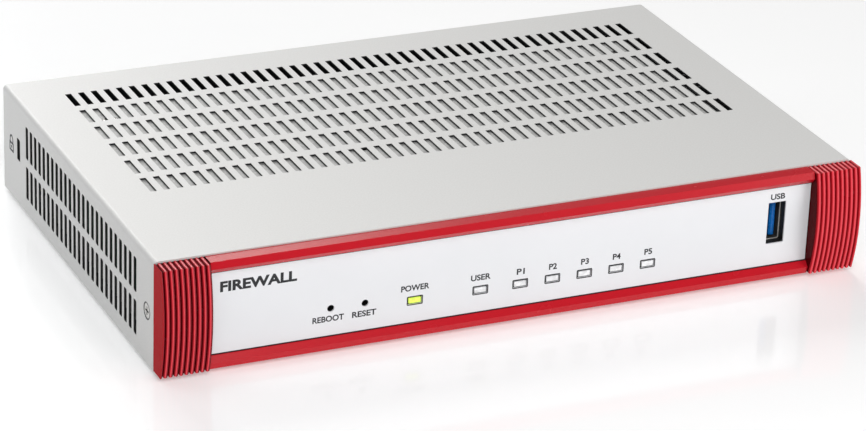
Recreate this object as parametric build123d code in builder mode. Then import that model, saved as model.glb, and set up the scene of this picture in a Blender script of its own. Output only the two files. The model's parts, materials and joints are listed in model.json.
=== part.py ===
"""Desktop firewall appliance: a folded steel case with a red front bezel, and the board inside it.

+X is to the right seen from the front, +Y to the back and +Z up. The origin is on the table,
under the middle of the box around the whole appliance. Everything is in millimetres."""

import os
from math import sqrt

from build123d import *

os.makedirs("parts", exist_ok=True)

# ---- driving dimensions -----------------------------------------------------------------

WIDTH = 216.0
DEPTH = 143.0
HEIGHT = 34.0
FOOT_PROUD = 1.0  # the rubber feet lift the case this far off the table
BEZEL_DEPTH = 8.0  # the red bezel in front of the steel case
SHEET = 0.6  # steel sheet of the cover and the tray
BEND = 1.4  # outside radius where the sheet is folded
GAP = 0.2  # assembly gap between neighbouring pieces
CUT = 1.0  # how far a cutting solid reaches past the face it starts from

HALF_W = WIDTH / 2
CASE_FRONT = -DEPTH / 2 + BEZEL_DEPTH
CASE_BACK = DEPTH / 2
CASE_BOTTOM = FOOT_PROUD
CASE_TOP = HEIGHT
CASE_MID = (CASE_BOTTOM + CASE_TOP) / 2
ROOF = CASE_TOP - SHEET  # underside of the cover
COVER_INSIDE = HALF_W - SHEET
LIP_BOTTOM = 28.0  # the cover's rear lip hangs from the top down to here

# Ventilation slots in the top, one column for each tooth of a comb tool.
SLOT_COLUMNS, SLOT_ROWS = 47, 6
SLOT_PITCH_X, SLOT_PITCH_Y = 4.0, 13.28
SLOT_WIDTH, SLOT_LENGTH = 1.9, 9.8
SLOT_MID_Y = 19.1

# Ventilation slots in both sides, in two storeys.
VENT_COLUMNS, VENT_ROWS = 25, 2
VENT_PITCH_Y, VENT_PITCH_Z = 4.0, 12.95
VENT_WIDTH, VENT_LENGTH, VENT_CORNER = 2.45, 10.4, 0.6
VENT_MID_Y, VENT_MID_Z = -0.5, 17.4

# Security lock slot, left side only.
LOCK_Y, LOCK_Z = 55.8, 18.6
LOCK_WIDTH, LOCK_HEIGHT, LOCK_CORNER = 3.0, 7.0, 0.5

# M3 screws and the holes that take them.
SHANK_R = 1.4
THREAD_HOLE_R = 1.5
FLAT_HEAD_R = 2.2
PAN_HEAD_R, PAN_HEAD_HEIGHT = 2.75, 1.9
CROSS_LENGTH, CROSS_WIDTH, CROSS_DEPTH = 2.6, 0.55, 0.9
SCREW_ANGLE = 90
SCREW_SUNK = 0.05  # a flat head ends this far below the face around it
SIDE_SCREW_Y, SIDE_SCREW_Z = -58.2, 17.1
REAR_SCREW_X, REAR_SCREW_Z = 96.0, 31.0

# Tray: floor, front wall, rear wall and low side flanges with taller ears at the corners.
TRAY_HALF = COVER_INSIDE - GAP
TRAY_FRONT = CASE_FRONT + 1.0
TRAY_BACK = CASE_BACK - SHEET - GAP
TRAY_TOP = ROOF - GAP
FLOOR = CASE_BOTTOM + SHEET
FLANGE_TOP = 5.0
EAR_TOP = 24.0
WALL_MARGIN = 0.5  # room all round the pieces that pass through the front wall
FRONT_EAR_END, REAR_EAR_START = -51.5, 50.5

FOOT_R, FOOT_HEIGHT, FOOT_DIMPLE = 6.0, 1.4, 0.4
FEET = [(x, y) for x in (-92.0, 92.0) for y in (-50.0, 57.0)]
FLOOR_VENT_ROWS_Y = (-32.0, 40.0)
FLOOR_VENT_COUNT, FLOOR_VENT_PITCH = 17, 6.0
FLOOR_VENT_LENGTH, FLOOR_VENT_WIDTH = 14.0, 2.2
KEYHOLE_X, KEYHOLE_Y = 60.0, 5.0
KEYHOLE_HEAD_R, KEYHOLE_SLOT_R, KEYHOLE_TRAVEL = 4.2, 2.1, 8.0
KEYHOLE_MIDS = [(x, KEYHOLE_Y + KEYHOLE_TRAVEL / 2) for x in (-KEYHOLE_X, KEYHOLE_X)]

# Bezel: two ribbed ends joined by a top and a bottom rail.
BEZEL_HALF_H = 16.1
BEZEL_BACK = CASE_FRONT - 0.1
BOW_FRONT = -DEPTH / 2  # foremost point of the bowed ribs
BOW_RISE = 2.3  # how far the middle of the bow stands in front of its ends
BOW_R = (BEZEL_HALF_H**2 + BOW_RISE**2) / (2 * BOW_RISE)
BOW_CENTRE_Y = BOW_FRONT + BOW_R
RIB_COUNT, RIB_PITCH, RIB_DEPTH = 9, 1.53, 0.75
END_WIDTH = (RIB_COUNT + 0.5) * RIB_PITCH
END_INNER = HALF_W - END_WIDTH
END_WALL, END_HOLLOW_H = 2.0, 13.5  # the ends are hollow from behind
RAIL_FRONT, RAIL_RIDGE = -68.0, -68.6
RAIL_RIDGE_H, RAIL_LIP_H, RAIL_POCKET_H = 14.05, 12.5, 13.6
LIP_FRONT, LIP_BACK = -67.2, -66.9
HOOK_XS = (-80.0, -27.0, 27.0, 70.0)
HOOK_WIDTH, HOOK_THICK, HOOK_REACH, HOOK_BARB = 7.0, 1.0, 3.3, 0.45
HOOK_H = 14.4  # height of a hook's middle above or below the middle of the bezel

# White panel and the black plate behind it.
PANEL_HALF_W, PANEL_HALF_H = END_INNER - GAP, RAIL_POCKET_H - GAP
PANEL_FRONT, PANEL_THICK = -66.8, 0.5
BACKING_FRONT = PANEL_FRONT + PANEL_THICK
BACKING_THICK = 2.4

# Status lights: power at the left, then user, then one for each network port.
POWER_LIGHT_X = -31.9
STATUS_LIGHT_XS = (-11.8, 0.6, 10.7, 20.8, 30.9, 41.0)
LIGHT_Z = 11.95
WINDOW_WIDTH, WINDOW_HEIGHT = 4.3, 2.2
GUIDE_WIDTH, GUIDE_HEIGHT = 3.6, 1.5
GUIDE_SUNK, GUIDE_SLIT = 0.05, 0.1
LED_Y = -56.0
LED_SIZE = (1.6, 0.8, 0.6)
LED_GAP = 0.3  # between a light and the foot of its guide

# Recessed buttons behind pinholes.
PINHOLE_R, BUTTON_Z = 1.05, 13.5
REBOOT_X, RESET_X = -57.3, -47.0
STEM_R, STEM_CLEARANCE, STEM_CHAMFER = 1.6, 0.06, 0.25
STEM_TIP, STEM_END = -61.2, -57.6
STEM_ROOM = 0.6  # free depth in the switch behind the stem
SWITCH_FRONT, SWITCH_BACK = -58.6, -54.6
SWITCH_HALF_W, SWITCH_CHAMFER = 3.0, 0.5

# Upright USB socket.
USB_X, USB_Z = 82.5, 18.65
USB_WIDTH, USB_HEIGHT, USB_WALL = 5.7, 13.1, 0.3
USB_FRONT, USB_BACK = -63.8, -46.5
USB_SLIT = 0.05
USB_TONGUE_THICK, USB_TONGUE_HALF_H = 1.84, 5.55
USB_TONGUE_CHAMFER = 0.5
USB_TONGUE_FRONT, USB_PLUG_END = -63.1, -52.0  # a plug goes in as far as the second
USB_FINGER_HS = (-3.0, 3.0)
USB_CONTACT_HS = (-3.5, -1.0, 1.0, 3.5)
USB_CONTACT_SIZE = (0.24, 8.4, 1.0)
USB_CONTACT_Y = -57.4
USB_STAND_HALF_W, USB_STAND_FRONT = 3.1, -59.5
USB_STAND_WALL, USB_STAND_RISE = 1.6, 5.0

# Circuit board.
BOARD_HALF_W, BOARD_FRONT, BOARD_BACK = 102.0, -60.4, 68.8
BOARD_BOTTOM, BOARD_THICK = 8.0, 1.6
BOARD_TOP = BOARD_BOTTOM + BOARD_THICK
BOARD_HOLE_R, BOARD_CORNER = 1.7, 2.0
STANDOFF_FLATS = 5.5
SHEET_MID_Y, SHEET_DEPTH, SHEET_CORNER, SHEET_THICK, SHEET_GAP = 4.0, 120.0, 3.0, 0.3, 0.05
CORNER_POSTS = [(x, y) for x in (-97.0, 97.0) for y in (-55.0, 62.0)]
SPREADER_POSTS = [(x, y) for x in (-86.0, 81.2) for y in (-21.0, 35.5)]

# Heat spreader plate close under the slots, and the block that joins it to the processor.
SPREADER_GAP = 0.1  # the spreader lies close under the slots of the cover
SPREADER_TOP, SPREADER_THICK = ROOF - SPREADER_GAP, 1.5
SPREADER_BOTTOM = SPREADER_TOP - SPREADER_THICK
SPREADER_LEFT, SPREADER_RIGHT = -95.5, 89.6
SPREADER_FRONT, SPREADER_BACK = -25.0, 47.0
SPREADER_FLANGE, SPREADER_BEND = 6.0, 2.0
CHIP_X, CHIP_Y = -10.0, 6.4
BLOCK_SIDE, BLOCK_BOTTOM = 40.0, 12.2
BLOCK_SCREW_OFFSET = 14.0
BLOCK_SCREWS = [(CHIP_X + side * BLOCK_SCREW_OFFSET, CHIP_Y + side * BLOCK_SCREW_OFFSET) for side in (-1, 1)]
BLOCK_GROOVE_ZS, BLOCK_GROOVE_HEIGHT, BLOCK_GROOVE_DEPTH = (15.0, 19.0, 23.0), 2.0, 7.0
PILLAR_STUD, PILLAR_TAP, BLOCK_TAP = 5.0, 8.0, 6.2
CARRIER_SIDE, CARRIER_THICK, LID_SIDE = 27.0, 0.8, 21.0  # the processor's carrier and lid
PAD_SIDE, PAD_THICK = 24.0, 1.0

# The larger parts on the board: their places as (x, y), and their width, depth and height.
MEMORY_AT, MEMORY_SIZE = [(-44.0, 13.0), (-44.0, -1.0)], (13.3, 7.5, 1.1)
STORAGE_AT, STORAGE_SIZE = [(30.0, 4.0)], (11.5, 13.0, 1.0)
SWITCH_CHIP_AT, SWITCH_CHIP_SIZE = [(-52.0, 30.0)], (20.0, 20.0, 1.4)
TRANSFORMER_Y, TRANSFORMER_SIZE = 46.0, (12.7, 7.1, 5.0)
INDUCTORS_AT, INDUCTOR_SIZE = [(52.0, 20.0), (52.0, 4.0), (66.0, 12.0)], (7.0, 7.0, 3.2)
REGULATORS_AT, REGULATOR_SIZE = [(44.0, 20.0), (44.0, 4.0), (66.0, 0.0), (74.0, 22.0)], (4.0, 5.0, 0.9)
CRYSTALS_AT, CRYSTAL_SIZE = [(-44.0, -14.0), (-34.0, 26.0)], (5.0, 3.2, 1.1)
CAPACITOR_R, CAPACITOR_HEIGHT = 5.0, 19.0
CAPACITORS_AT = [(96.8, y) for y in (-2.0, 8.2, 18.4, 28.6)]
BATTERY_AT, BATTERY_R, BATTERY_HEIGHT = (44.0, -38.0), 10.0, 3.2
HOLDER_R, HOLDER_HEIGHT, HOLDER_FLOOR = 11.6, 3.4, 0.9

# Network jacks: a row of five and a separate console jack.
JACK_PITCH, JACK_WIDTH = 15.0, 15.4
LAN_X, CONSOLE_X = -35.0, 26.0
JACK_BOTTOM, JACK_TOP = BOARD_TOP + 0.1, 23.3
JACK_MOUTH, JACK_REAR = 70.9, 52.0
JACK_SKIN = 0.3
LAN_XS = [LAN_X + JACK_PITCH * (i - 2) for i in range(5)]
LAN_WIDTH = 4 * JACK_PITCH + JACK_WIDTH
PLUG_WIDTH, PLUG_BOTTOM, PLUG_TOP, PLUG_DEPTH = 11.8, 14.2, 21.2, 14.0
LATCH_WIDTH, LATCH_BOTTOM = 6.2, 12.6
TAB_WIDTH, TAB_BOTTOM = 3.6, 11.2
WIRE_COUNT, WIRE_PITCH, WIRE_THICK, WIRE_LENGTH, WIRE_SLOPE = 8, 1.02, 0.35, 7.6, -13
WIRE_Y, WIRE_Z = JACK_MOUTH - 10.2, PLUG_TOP - 1.3

# Power inlet and latching power button.
INLET_X, INLET_Z, INLET_NOSE_R, INLET_BORE_R, INLET_PIN_R = 86.0, 15.6, 4.5, 3.15, 1.0
INLET_REAR, INLET_BORE_DEPTH, INLET_PIN_LENGTH, INLET_CHAMFER = 56.0, 9.5, 8.5, 1.2
POWER_X, POWER_Z, POWER_CAP_R, POWER_STEM = 62.0, 13.85, 4.0, 3.0
POWER_FACE, POWER_CAP_BACK = 71.4, 66.6
POWER_SOCKET_DEPTH, POWER_STEM_SOCKETED, POWER_STEM_GAP = 3.0, 2.8, 0.06
POWER_SWITCH_FRONT, POWER_SWITCH_BACK, POWER_SWITCH_HALF = 66.0, 53.0, 4.25
POWER_HOLE_DEPTH, POWER_STEM_INSIDE = 9.0, 8.0


# ---- shared helpers ---------------------------------------------------------------------


def span(x, y, z, mode=Mode.ADD):
    """A box between two values on each axis, in the open part."""
    with Locations(((x[0] + x[1]) / 2, (y[0] + y[1]) / 2, (z[0] + z[1]) / 2)):
        Box(x[1] - x[0], y[1] - y[0], z[1] - z[0], mode=mode)


def facing_front(y):
    """Sketch plane at y. Its X is the appliance's X, its Y is up, and it extrudes to the front."""
    return Plane.XZ.offset(-y)


def write(piece, name):
    """Label a finished piece and write it under the same name."""
    piece.part.label = name
    export_step(piece.part, f"parts/{name}.step")


def screw(head_r, head_height, length, flat):
    """A cross-head screw standing on its shank, with the top of its head at the origin."""
    with BuildPart() as body:
        with BuildSketch(Plane.XZ):
            with BuildLine():
                if flat:
                    head = [(head_r, 0), (SHANK_R, SHANK_R - head_r)]
                else:
                    dome = [(head_r - 0.5, 0), (head_r, -0.7)]
                    head = dome + [(head_r, -head_height), (SHANK_R, -head_height)]
                Polyline((0, 0), *head, (SHANK_R, -length), (0, -length), close=True)
            make_face()
        revolve(axis=Axis.Z)
        with BuildSketch():
            Rectangle(CROSS_LENGTH, CROSS_WIDTH)
            Rectangle(CROSS_WIDTH, CROSS_LENGTH)
        extrude(amount=-CROSS_DEPTH, mode=Mode.SUBTRACT)
    return body.part


# ---- case -------------------------------------------------------------------------------

window_places = [(x, LIGHT_Z) for x in (POWER_LIGHT_X, *STATUS_LIGHT_XS)]
pinhole_places = [(REBOOT_X, BUTTON_Z), (RESET_X, BUTTON_Z)]

# The top cover is one folded sheet: top, both sides and a short lip down the back.
with BuildPart() as cover_hollow:
    span((-COVER_INSIDE, COVER_INSIDE), (CASE_FRONT - CUT, CASE_BACK - SHEET), (CASE_BOTTOM - CUT, ROOF))
    fillet(cover_hollow.edges().filter_by(Axis.Y).group_by(Axis.Z)[-1], BEND - SHEET)

with BuildPart() as top_cover:
    span((-HALF_W, HALF_W), (CASE_FRONT, CASE_BACK), (CASE_BOTTOM, CASE_TOP))
    top_edges = top_cover.faces().sort_by(Axis.Z)[-1].edges().sort_by(Axis.Y)[1:]
    back_corners = top_cover.edges().filter_by(Axis.Z).group_by(Axis.Y)[-1]
    fillet(top_edges + back_corners, BEND)
    add(cover_hollow.part, mode=Mode.SUBTRACT)
    below_lip = (CASE_BOTTOM - CUT, LIP_BOTTOM)
    back_wall = (CASE_BACK - SHEET - CUT, CASE_BACK + CUT)
    span((-COVER_INSIDE, COVER_INSIDE), back_wall, below_lip, mode=Mode.SUBTRACT)
    with BuildSketch(Plane.XY.offset(CASE_TOP)):
        with Locations((0, SLOT_MID_Y)):
            with GridLocations(SLOT_PITCH_X, SLOT_PITCH_Y, SLOT_COLUMNS, SLOT_ROWS):
                Rectangle(SLOT_WIDTH, SLOT_LENGTH)
    extrude(amount=-2 * SHEET, mode=Mode.SUBTRACT)
    with BuildSketch(Plane.YZ.offset(-HALF_W - CUT)):
        with Locations((VENT_MID_Y, VENT_MID_Z)):
            with GridLocations(VENT_PITCH_Y, VENT_PITCH_Z, VENT_COLUMNS, VENT_ROWS):
                RectangleRounded(VENT_WIDTH, VENT_LENGTH, VENT_CORNER)
    extrude(amount=WIDTH + 2 * CUT, mode=Mode.SUBTRACT)
    with BuildSketch(Plane.YZ.offset(-HALF_W - CUT)):
        with Locations((LOCK_Y, LOCK_Z)):
            RectangleRounded(LOCK_WIDTH, LOCK_HEIGHT, LOCK_CORNER)
    extrude(amount=SHEET + 2 * CUT, mode=Mode.SUBTRACT)
    for side in (-1, 1):
        side_seat = Plane((side * HALF_W, SIDE_SCREW_Y, SIDE_SCREW_Z), z_dir=(side, 0, 0))
        lip_seat = Plane((side * REAR_SCREW_X, CASE_BACK, REAR_SCREW_Z), z_dir=(0, 1, 0))
        with Locations(side_seat, lip_seat):
            CounterSinkHole(radius=FLAT_HEAD_R - SHEET + GAP, counter_sink_radius=FLAT_HEAD_R + GAP,
                            depth=2 * SHEET, counter_sink_angle=SCREW_ANGLE)
write(top_cover, "top_cover")

# The tray is the other folded sheet: floor, front wall, rear wall with its sockets' openings,
# and side flanges that the cover slides over.
with BuildPart() as base_tray:
    span((-TRAY_HALF, TRAY_HALF), (TRAY_FRONT, TRAY_BACK), (CASE_BOTTOM, TRAY_TOP))
    fillet(base_tray.faces().sort_by(Axis.Z)[0].edges(), BEND)
    inside_x = (SHEET - TRAY_HALF, TRAY_HALF - SHEET)
    inside_y = (TRAY_FRONT + SHEET, TRAY_BACK - SHEET)
    span(inside_x, inside_y, (FLOOR, TRAY_TOP + CUT), mode=Mode.SUBTRACT)
    over_flanges = (-TRAY_HALF - CUT, TRAY_HALF + CUT)
    span(over_flanges, (FRONT_EAR_END, REAR_EAR_START), (FLANGE_TOP, TRAY_TOP + CUT), mode=Mode.SUBTRACT)
    span(over_flanges, inside_y, (EAR_TOP, TRAY_TOP + CUT), mode=Mode.SUBTRACT)

    # Rear wall: sockets, power button, power inlet and two threaded holes.
    with BuildSketch(facing_front(TRAY_BACK + CUT)):
        jack_z = (JACK_BOTTOM + JACK_TOP) / 2
        with Locations((LAN_X, jack_z)):
            Rectangle(LAN_WIDTH + 2 * GAP, JACK_TOP - JACK_BOTTOM + 2 * GAP)
        with Locations((CONSOLE_X, jack_z)):
            Rectangle(JACK_WIDTH + 2 * GAP, JACK_TOP - JACK_BOTTOM + 2 * GAP)
        with Locations((POWER_X, POWER_Z)):
            Circle(POWER_CAP_R + 2 * GAP)
        with Locations((INLET_X, INLET_Z)):
            Circle(INLET_NOSE_R + GAP)
        with Locations((-REAR_SCREW_X, REAR_SCREW_Z), (REAR_SCREW_X, REAR_SCREW_Z)):
            Circle(THREAD_HOLE_R)
    extrude(amount=SHEET + 2 * CUT, mode=Mode.SUBTRACT)

    # Front wall: light windows, button holes, the USB socket and the bezel's hooks. The upper
    # hooks' openings run out through the wall's top edge.
    with BuildSketch(facing_front(TRAY_FRONT + SHEET + CUT)):
        with Locations(*window_places):
            Rectangle(WINDOW_WIDTH + 2 * WALL_MARGIN, WINDOW_HEIGHT + 2 * WALL_MARGIN)
        with Locations(*pinhole_places):
            Circle(STEM_R + 2 * WALL_MARGIN)
        with Locations((USB_X, USB_Z)):
            Rectangle(USB_WIDTH + 2 * WALL_MARGIN, USB_HEIGHT + 2 * WALL_MARGIN)
        for hook_x in HOOK_XS:
            with Locations((hook_x, CASE_MID + HOOK_H - HOOK_THICK)):
                Rectangle(HOOK_WIDTH + 2 * WALL_MARGIN, 4 * HOOK_THICK, align=(Align.CENTER, Align.MIN))
            with Locations((hook_x, CASE_MID - HOOK_H)):
                Rectangle(HOOK_WIDTH + 2 * WALL_MARGIN, HOOK_THICK + 3 * GAP)
    extrude(amount=SHEET + 2 * CUT, mode=Mode.SUBTRACT)

    # Ears: screw holes on both sides, and the lock slot behind the cover's own on the left.
    with BuildSketch(Plane.YZ.offset(-TRAY_HALF - CUT)):
        with Locations((SIDE_SCREW_Y, SIDE_SCREW_Z)):
            Circle(THREAD_HOLE_R)
    extrude(amount=2 * TRAY_HALF + 2 * CUT, mode=Mode.SUBTRACT)
    with BuildSketch(Plane.YZ.offset(-TRAY_HALF - CUT)):
        with Locations((LOCK_Y, LOCK_Z)):
            RectangleRounded(LOCK_WIDTH, LOCK_HEIGHT, LOCK_CORNER)
    extrude(amount=SHEET + 2 * CUT, mode=Mode.SUBTRACT)

    # Floor: two banks of vents, two keyholes for hanging on a wall, four dimples for the feet.
    with BuildSketch(Plane.XY.offset(CASE_BOTTOM - CUT)):
        with Locations(*[(0, y) for y in FLOOR_VENT_ROWS_Y]):
            with GridLocations(FLOOR_VENT_PITCH, 1, FLOOR_VENT_COUNT, 1):
                SlotOverall(FLOOR_VENT_LENGTH, FLOOR_VENT_WIDTH, rotation=90)
        with Locations((-KEYHOLE_X, KEYHOLE_Y), (KEYHOLE_X, KEYHOLE_Y)):
            Circle(KEYHOLE_HEAD_R)
        with Locations(*KEYHOLE_MIDS):
            SlotCenterToCenter(KEYHOLE_TRAVEL, 2 * KEYHOLE_SLOT_R, rotation=90)
    extrude(amount=SHEET + 2 * CUT, mode=Mode.SUBTRACT)
    with BuildSketch(Plane.XY.offset(CASE_BOTTOM)):
        with Locations(*FEET):
            Circle(FOOT_R + GAP)
    extrude(amount=FOOT_DIMPLE, mode=Mode.SUBTRACT)
write(base_tray, "base_tray")

with BuildPart() as rubber_feet:
    with BuildSketch(Plane.XY):
        with Locations(*FEET):
            Circle(FOOT_R)
    extrude(amount=FOOT_HEIGHT)
    chamfer(rubber_feet.faces().group_by(Axis.Z)[0].edges(), 0.3)
write(rubber_feet, "rubber_feet")

with BuildPart() as side_screws:
    for side in (-1, 1):
        with Locations(Plane((side * (HALF_W - SCREW_SUNK), SIDE_SCREW_Y, SIDE_SCREW_Z), z_dir=(side, 0, 0))):
            add(screw(FLAT_HEAD_R, 0, 6, flat=True))
write(side_screws, "side_screws")

with BuildPart() as rear_screws:
    for side in (-1, 1):
        with Locations(Plane((side * REAR_SCREW_X, CASE_BACK - SCREW_SUNK, REAR_SCREW_Z), z_dir=(0, 1, 0))):
            add(screw(FLAT_HEAD_R, 0, 5, flat=True))
write(rear_screws, "rear_screws")

# ---- front bezel ------------------------------------------------------------------------


def rib_stations():
    """(x, inset) along the right end, from its outer face to its inner wall. Each rib has a
    round crest, and the groove between two ribs is sharp at the bottom."""
    across = (-0.5, -0.47, -0.4, -0.25, 0.0, 0.25, 0.4, 0.47)
    stations = [(HALF_W - RIB_PITCH * u, u) for u in (0.0, 0.25, 0.4, 0.47)]
    for rib in range(1, RIB_COUNT + 1):
        stations += [(HALF_W - RIB_PITCH * (rib + u), u) for u in across]
    stations.append((END_INNER, 0.5))
    return [(x, RIB_DEPTH * (1 - sqrt(1 - 4 * u * u))) for x, u in stations]


rail_outline = [
    (BEZEL_BACK, BEZEL_HALF_H),
    (RAIL_FRONT, BEZEL_HALF_H),
    (RAIL_RIDGE, RAIL_RIDGE_H),
    (LIP_FRONT, RAIL_LIP_H),
    (LIP_BACK, RAIL_LIP_H),
    (LIP_BACK, RAIL_POCKET_H),
    (BEZEL_BACK, RAIL_POCKET_H),
]

with BuildPart() as front_bezel:
    for station_x, inset in rib_stations():
        bow = BOW_R - inset
        half = BEZEL_HALF_H - inset
        corner_y = BOW_CENTRE_Y - sqrt(bow**2 - half**2)
        with BuildSketch(Plane.YZ.offset(station_x)):
            with BuildLine():
                Polyline(
                    (corner_y, CASE_MID + half), (BEZEL_BACK, CASE_MID + half),
                    (BEZEL_BACK, CASE_MID - half), (corner_y, CASE_MID - half),
                )
                ThreePointArc(
                    (corner_y, CASE_MID - half), (BOW_CENTRE_Y - bow, CASE_MID), (corner_y, CASE_MID + half)
                )
            make_face()
    loft(ruled=True)
    span(
        (END_INNER + END_WALL, HALF_W - END_WALL), (BOW_FRONT + END_WALL + CUT, BEZEL_BACK + CUT),
        (CASE_MID - END_HOLLOW_H, CASE_MID + END_HOLLOW_H), mode=Mode.SUBTRACT,
    )
    mirror(about=Plane.YZ)
    with BuildSketch(Plane.YZ.offset(-END_INNER)):
        for up in (1, -1):
            with BuildLine():
                Polyline(*[(y, CASE_MID + up * h) for y, h in rail_outline], close=True)
            make_face()
    extrude(amount=2 * END_INNER)
    for up in (1, -1):
        with BuildSketch(Plane.YZ.offset(-HOOK_WIDTH / 2)) as hook_outline:
            root_y, barb_y, tip_y = BEZEL_BACK - 1, BEZEL_BACK + HOOK_REACH - 1, BEZEL_BACK + HOOK_REACH
            near, far = HOOK_H - HOOK_THICK / 2, HOOK_H + HOOK_THICK / 2
            with BuildLine():
                hook_points = [
                    (root_y, near), (tip_y, near), (tip_y, far),
                    (barb_y, far + HOOK_BARB), (barb_y, far), (root_y, far),
                ]
                Polyline(*[(y, CASE_MID + up * h) for y, h in hook_points], close=True)
            make_face()
        with Locations(*[(x, 0, 0) for x in HOOK_XS]):
            add(extrude(hook_outline.sketch, amount=HOOK_WIDTH, mode=Mode.PRIVATE))
write(front_bezel, "front_bezel")

# The white panel is a thin printed sheet, and the black plate behind it keeps each light in
# its own window.
with BuildPart() as front_panel:
    with BuildSketch(facing_front(BACKING_FRONT)):
        with Locations((0, CASE_MID)):
            Rectangle(2 * PANEL_HALF_W, 2 * PANEL_HALF_H)
        with Locations(*window_places):
            Rectangle(WINDOW_WIDTH, WINDOW_HEIGHT, mode=Mode.SUBTRACT)
        with Locations(*pinhole_places):
            Circle(PINHOLE_R, mode=Mode.SUBTRACT)
        with Locations((USB_X, USB_Z)):
            Rectangle(USB_WIDTH + 2 * USB_SLIT, USB_HEIGHT, mode=Mode.SUBTRACT)
    extrude(amount=PANEL_THICK)
write(front_panel, "front_panel")

with BuildPart() as panel_backing:
    with BuildSketch(facing_front(BACKING_FRONT + BACKING_THICK)):
        with Locations((0, CASE_MID)):
            Rectangle(2 * PANEL_HALF_W, 2 * PANEL_HALF_H)
        with Locations(*window_places):
            Rectangle(GUIDE_WIDTH + GUIDE_SLIT, GUIDE_HEIGHT + GUIDE_SLIT, mode=Mode.SUBTRACT)
        with Locations(*pinhole_places):
            Circle(PINHOLE_R, mode=Mode.SUBTRACT)
        with Locations((USB_X, USB_Z)):
            Rectangle(USB_WIDTH + 2 * USB_SLIT, USB_HEIGHT, mode=Mode.SUBTRACT)
    extrude(amount=BACKING_THICK)
write(panel_backing, "panel_backing")


def light_guide(x):
    """A clear rod from the panel back to its light, with a sloped face that turns the light."""
    top, bottom = LIGHT_Z + GUIDE_HEIGHT / 2, LIGHT_Z - GUIDE_HEIGHT / 2
    front = PANEL_FRONT + GUIDE_SUNK
    foot = BOARD_TOP + LED_SIZE[2] + LED_GAP
    foot_front, foot_back = LED_Y - LED_SIZE[1], LED_Y + LED_SIZE[1]
    with BuildPart() as guide:
        with BuildSketch(Plane.YZ.offset(x - GUIDE_WIDTH / 2)):
            with BuildLine():
                Polyline(
                    (front, bottom), (front, top), (LED_Y - 1, top), (foot_back, foot + 0.4),
                    (foot_back, foot), (foot_front, foot), (foot_front, bottom), close=True,
                )
            make_face()
        extrude(amount=GUIDE_WIDTH)
    return guide.part


with BuildPart() as power_light_guide:
    add(light_guide(POWER_LIGHT_X))
write(power_light_guide, "power_light_guide")

with BuildPart() as status_light_guides:
    for light_x in STATUS_LIGHT_XS:
        add(light_guide(light_x))
write(status_light_guides, "status_light_guides")

with BuildPart() as power_led:
    with Locations((POWER_LIGHT_X, LED_Y, BOARD_TOP)):
        Box(*LED_SIZE, align=(Align.CENTER, Align.CENTER, Align.MIN))
write(power_led, "power_led")

with BuildPart() as status_leds:
    with Locations(*[(x, LED_Y, BOARD_TOP) for x in STATUS_LIGHT_XS]):
        Box(*LED_SIZE, align=(Align.CENTER, Align.CENTER, Align.MIN))
write(status_leds, "status_leds")

# ---- recessed buttons -------------------------------------------------------------------


def tact_switch(x):
    """The fixed body of a small press switch, with the hole that its stem slides in."""
    with BuildPart() as body:
        body_x = (x - SWITCH_HALF_W, x + SWITCH_HALF_W)
        span(body_x, (SWITCH_FRONT, SWITCH_BACK), (BOARD_TOP, BUTTON_Z + SWITCH_HALF_W))
        chamfer(body.edges().filter_by(Axis.Y).group_by(Axis.Z)[-1], SWITCH_CHAMFER)
        with BuildSketch(facing_front(STEM_END + STEM_ROOM)):
            with Locations((x, BUTTON_Z)):
                Circle(STEM_R + STEM_CLEARANCE)
        extrude(amount=STEM_END + STEM_ROOM - SWITCH_FRONT, mode=Mode.SUBTRACT)
    return body


def tact_stem(x):
    """The stem that a pin through the pinhole pushes in."""
    with BuildPart() as stem:
        with BuildSketch(facing_front(STEM_END)):
            with Locations((x, BUTTON_Z)):
                Circle(STEM_R)
        extrude(amount=STEM_END - STEM_TIP)
        chamfer(stem.faces().sort_by(Axis.Y)[0].edges(), STEM_CHAMFER)
    return stem


for button_name, button_x in (("reboot", REBOOT_X), ("reset", RESET_X)):
    write(tact_switch(button_x), f"{button_name}_switch")
    write(tact_stem(button_x), f"{button_name}_stem")

# ---- USB socket -------------------------------------------------------------------------

inner_width, inner_height = USB_WIDTH - 2 * USB_WALL, USB_HEIGHT - 2 * USB_WALL
tongue_x = (USB_X + USB_SLIT, USB_X + USB_SLIT + USB_TONGUE_THICK)

with BuildPart() as usb_shell:
    with BuildSketch(facing_front(USB_BACK)):
        with Locations((USB_X, USB_Z)):
            RectangleRounded(USB_WIDTH, USB_HEIGHT, 0.5)
            RectangleRounded(inner_width, inner_height, 0.25, mode=Mode.SUBTRACT)
    extrude(amount=USB_BACK - USB_FRONT)
    # Two spring fingers in each broad side, cut free all round except at the back.
    with BuildSketch(Plane.YZ.offset(USB_X - USB_WIDTH)):
        for finger_h in USB_FINGER_HS:
            with Locations((-57, USB_Z + finger_h)):
                Rectangle(6, 2.6)
                Rectangle(5.2, 1.8, mode=Mode.SUBTRACT)
            with Locations((-54.2, USB_Z + finger_h)):
                Rectangle(1.2, 1.8, mode=Mode.SUBTRACT)
    extrude(amount=2 * USB_WIDTH, mode=Mode.SUBTRACT)
write(usb_shell, "usb_shell")

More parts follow.
